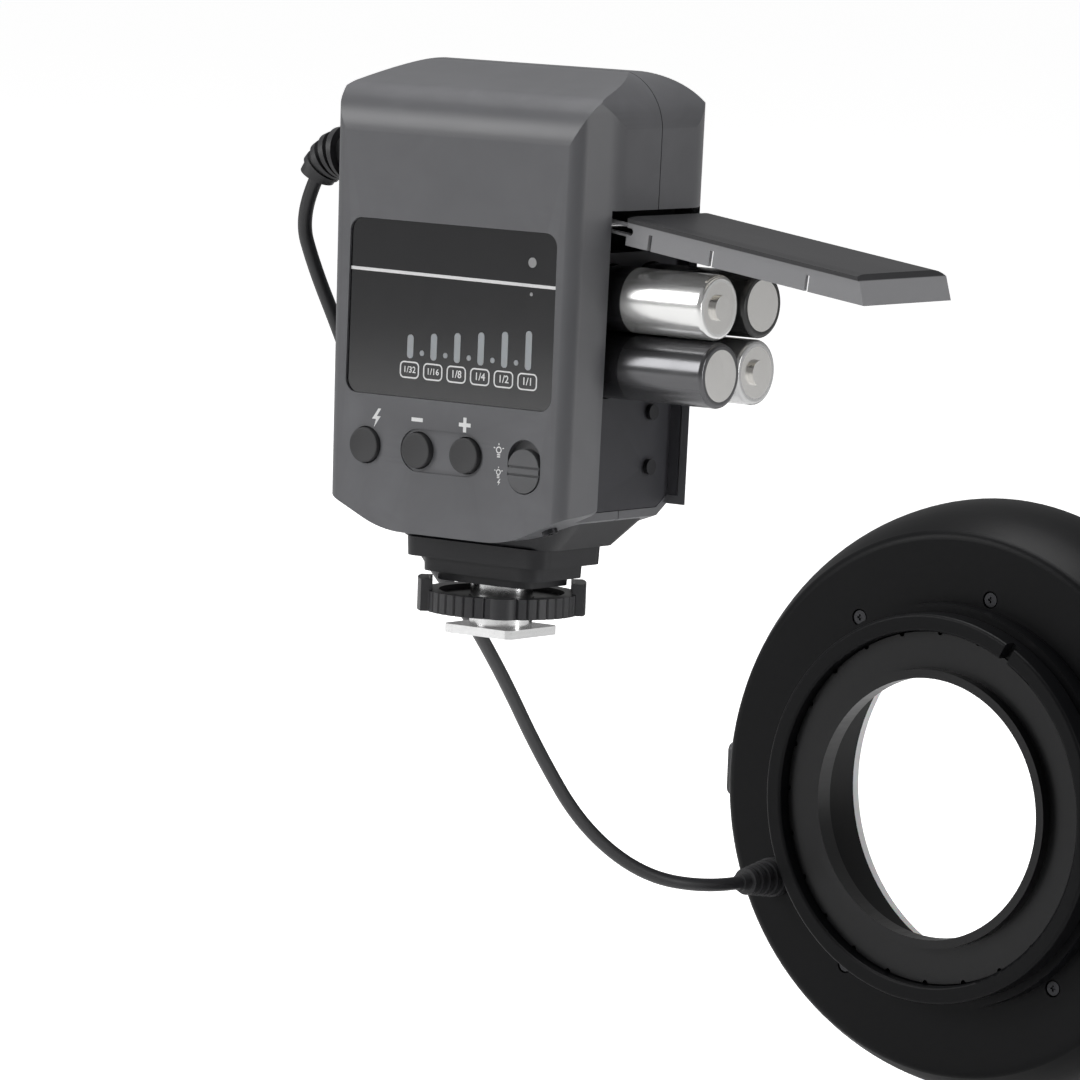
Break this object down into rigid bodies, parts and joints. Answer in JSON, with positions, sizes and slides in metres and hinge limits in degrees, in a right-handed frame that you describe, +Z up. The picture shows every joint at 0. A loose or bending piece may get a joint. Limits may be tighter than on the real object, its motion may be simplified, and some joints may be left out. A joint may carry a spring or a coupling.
{
  "type": "macro ring flash",
  "caption": "Ring flash head on a cord, with a hot-shoe control unit whose battery door swings open over a bay for AA cells.",
  "frame": {"origin": "centre of the underside of the hot-shoe foot", "axes": "+Y the way the lens looks, +Z up, +X to the right seen from behind the unit"},
  "size_m": [0.1739, 0.2264, 0.2521],
  "materials": {
    "casing": "fine matt texture",
    "panel": "gloss, printed from behind",
    "light_guide": "frosted",
    "lamp_lens": "clear tinted",
    "button": "satin",
    "board": "solder resist",
    "capacitor": "sleeved",
    "chamber": "satin",
    "door": "fine matt texture",
    "contact": "nickel plated",
    "steel": "satin",
    "screw": "blackened",
    "cell": "gloss wrapper",
    "base": "satin",
    "foot": "bright",
    "insulator": "satin",
    "lock": "satin",
    "rubber": "matt",
    "ring": "fine matt texture",
    "diffuser": "frosted, ridged behind",
    "reflector": "bright",
    "tube_glass": "clear",
    "adapter": "black anodised"
  },
  "bodies": {
    "control_unit": {"rear_casing": "casing", "front_casing": "casing", "display_panel": "panel", "level_guides": "light_guide", "status_lamps": "lamp_lens", "circuit_board": "board", "flash_capacitor": "capacitor", "battery_chamber": "chamber", "cell_springs": "contact", "cell_terminals": "contact", "chamber_screws": "steel", "base_shell": "base", "casing_screws": "steel", "hot_shoe_foot": "foot", "foot_insulator": "insulator", "unit_cable_boot": "rubber", "ring_cord": "rubber", "ring_cable_boot": "rubber", "ring_rear_shell": "ring", "ring_front_bezel": "ring", "diffuser": "diffuser", "reflector": "reflector", "flash_tube_left": "tube_glass", "flash_tube_right": "tube_glass", "focus_lamps": "lamp_lens", "ring_board": "board", "ring_screws": "screw"},
    "door_pin": {"hinge_pin": "steel"},
    "battery_door": {"battery_door": "door", "door_contacts": "contact"},
    "cell_upper_near": {"cell_upper_near": "cell"},
    "cell_upper_far": {"cell_upper_far": "cell"},
    "cell_lower_near": {"cell_lower_near": "cell"},
    "cell_lower_far": {"cell_lower_far": "cell"},
    "test_button": {"test_button": "button"},
    "minus_button": {"minus_button": "button"},
    "plus_button": {"plus_button": "button"},
    "lamp_switch": {"lamp_switch": "button"},
    "lock_ring": {"lock_ring": "lock"},
    "lock_pin": {"lock_pin": "steel"},
    "centre_contact": {"centre_contact": "contact"},
    "adapter_ring": {"adapter_ring": "adapter"},
    "release_button_left": {"release_button_left": "ring"},
    "release_button_right": {"release_button_right": "ring"}
  },
  "joints": [
    {"name": "door_hinge", "type": "hinge", "parent": "control_unit", "child": "door_pin", "pos_m": [0.033, 0.0038, 0.09228], "axis": [0, 1, 0], "range_deg": [0, 83.3]},
    {"name": "door_slide", "type": "slide", "parent": "door_pin", "child": "battery_door", "axis": [0.9912, 0, -0.1323], "range_m": [-0.00725, 0]},
    {"name": "cell_upper_near_slide", "type": "slide", "parent": "control_unit", "child": "cell_upper_near", "axis": [1, 0, 0], "range_m": [-0.0348, 0]},
    {"name": "cell_upper_far_slide", "type": "slide", "parent": "control_unit", "child": "cell_upper_far", "axis": [1, 0, 0], "range_m": [-0.0348, 0]},
    {"name": "cell_lower_near_slide", "type": "slide", "parent": "control_unit", "child": "cell_lower_near", "axis": [1, 0, 0], "range_m": [-0.0348, 0]},
    {"name": "cell_lower_far_slide", "type": "slide", "parent": "control_unit", "child": "cell_lower_far", "axis": [1, 0, 0], "range_m": [-0.0348, 0]},
    {"name": "test_button_press", "type": "slide", "parent": "control_unit", "child": "test_button", "axis": [0, 1, 0], "range_m": [0, 0.0007], "stiffness_N_per_m": 600, "springref_m": -0.0005},
    {"name": "minus_button_press", "type": "slide", "parent": "control_unit", "child": "minus_button", "axis": [0, 1, 0], "range_m": [0, 0.0007], "stiffness_N_per_m": 600, "springref_m": -0.0005},
    {"name": "plus_button_press", "type": "slide", "parent": "control_unit", "child": "plus_button", "axis": [0, 1, 0], "range_m": [0, 0.0007], "stiffness_N_per_m": 600, "springref_m": -0.0005},
    {"name": "lamp_switch_slide", "type": "slide", "parent": "control_unit", "child": "lamp_switch", "axis": [0, 0, 1], "range_m": [0, 0.0018]},
    {"name": "lock_ring_turn", "type": "hinge", "parent": "control_unit", "child": "lock_ring", "pos_m": [0, 0, 0.0072], "axis": [0, 0, 1], "range_deg": [0, 360]},
    {"name": "lock_pin_slide", "type": "slide", "parent": "control_unit", "child": "lock_pin", "axis": [0, 0, 1], "range_m": [0, 0.00155]},
    {"name": "centre_contact_slide", "type": "slide", "parent": "control_unit", "child": "centre_contact", "axis": [0, 0, 1], "range_m": [0, 0.0004], "stiffness_N_per_m": 500, "springref_m": -0.0005},
    {"name": "adapter_turn", "type": "hinge", "parent": "control_unit", "child": "adapter_ring", "pos_m": [0, 0.1726, -0.055], "axis": [0, 1, 0], "continuous": true},
    {"name": "release_left_press", "type": "slide", "parent": "control_unit", "child": "release_button_left", "axis": [1, 0, 0], "range_m": [0, 0.002], "stiffness_N_per_m": 500, "springref_m": -0.001},
    {"name": "release_right_press", "type": "slide", "parent": "control_unit", "child": "release_button_right", "axis": [-1, 0, 0], "range_m": [0, 0.002], "stiffness_N_per_m": 500, "springref_m": -0.001}
  ],
  "couplings": [
    {"joint": "cell_upper_near_slide", "follows": "door_hinge", "m_per_rad": -0.023936},
    {"joint": "cell_upper_far_slide", "follows": "door_hinge", "m_per_rad": -0.023936},
    {"joint": "cell_lower_near_slide", "follows": "door_hinge", "m_per_rad": -0.023936},
    {"joint": "cell_lower_far_slide", "follows": "door_hinge", "m_per_rad": -0.023936},
    {"joint": "lock_pin_slide", "follows": "lock_ring_turn", "m_per_rad": 0.00024669}
  ]
}
